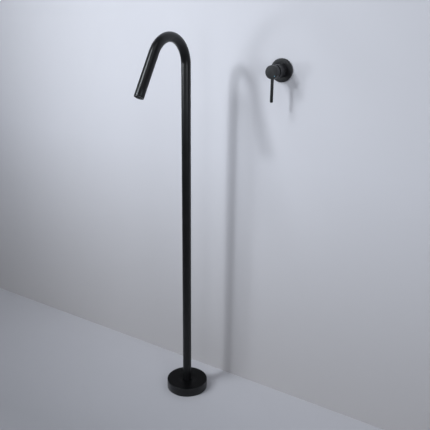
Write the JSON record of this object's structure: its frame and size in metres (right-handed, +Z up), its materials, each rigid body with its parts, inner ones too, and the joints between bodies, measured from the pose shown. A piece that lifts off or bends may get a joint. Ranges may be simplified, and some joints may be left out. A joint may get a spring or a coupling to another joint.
{
  "type": "floor-standing basin mixer",
  "caption": "Floor-standing gooseneck basin spout on a round base, with a separate wall-mounted single-lever mixer control with a pin handle.",
  "frame": {"origin": "centre of the circle of floor screws, on the finished floor under the riser", "axes": "+Z up; the spout reaches towards -Y; the finished wall with the control is a plane behind it at +Y; +X is to the right for a person who faces the wall"},
  "size_m": [0.308, 0.4273, 1.0908],
  "materials": {
    "matt_black_metal": "matt black powder coat with a fine texture",
    "blue_mark": "small blue inlay",
    "brass": "machined brass",
    "steel": "zinc-plated or stainless steel",
    "black_rubber": "black rubber",
    "white_plastic": "moulded acetal",
    "black_plastic": "moulded black acetal",
    "ceramic": "ground alumina ceramic"
  },
  "bodies": {
    "fixed_parts": {"spout_tube": "matt_black_metal", "aerator_housing": "matt_black_metal", "aerator_insert": "black_plastic", "aerator_screen": "steel", "aerator_washer": "black_rubber", "base_cover": "matt_black_metal", "cover_oring": "black_rubber", "floor_flange": "steel", "clamp_screws": "steel", "inlet_connector": "brass", "connector_orings": "black_rubber", "floor_screws": "steel", "floor_washers": "steel", "wall_rosette": "matt_black_metal", "rosette_seal": "black_rubber", "rosette_oring": "black_rubber", "trim_sleeve": "matt_black_metal", "sleeve_orings": "black_rubber", "fixed_disc": "ceramic", "disc_seals": "black_rubber", "cartridge_base": "white_plastic", "base_seals": "black_rubber", "cartridge_housing": "white_plastic", "cartridge_nut": "brass", "valve_body": "brass", "mounting_plate": "steel", "plate_screws": "steel", "wall_screws": "steel"},
    "turning_cartridge": {"cartridge_rotor": "white_plastic", "pivot_pin": "steel"},
    "lever": {"lever_stem": "brass", "lever_hub": "matt_black_metal", "lever_pin": "matt_black_metal", "hub_grub_screw": "steel", "indicator_dot": "blue_mark"},
    "sliding_disc": {"disc_carrier": "white_plastic", "moving_disc": "ceramic"}
  },
  "joints": [
    {"name": "lever_turn", "type": "hinge", "parent": "fixed_parts", "child": "turning_cartridge", "pos_m": [0.207, 0.1, 0.943], "axis": [0, -1, 0], "range_deg": [-50, 50]},
    {"name": "lever_lift", "type": "hinge", "parent": "turning_cartridge", "child": "lever", "pos_m": [0.207, 0.1, 0.943], "axis": [-1, 0, 0], "range_deg": [0, 22]},
    {"name": "disc_slide", "type": "slide", "parent": "turning_cartridge", "child": "sliding_disc", "axis": [0, 0, -1], "range_m": [0, 0.00356]}
  ],
  "couplings": [
    {"joint": "disc_slide", "follows": "lever_lift", "m_per_rad": 0.009}
  ]
}
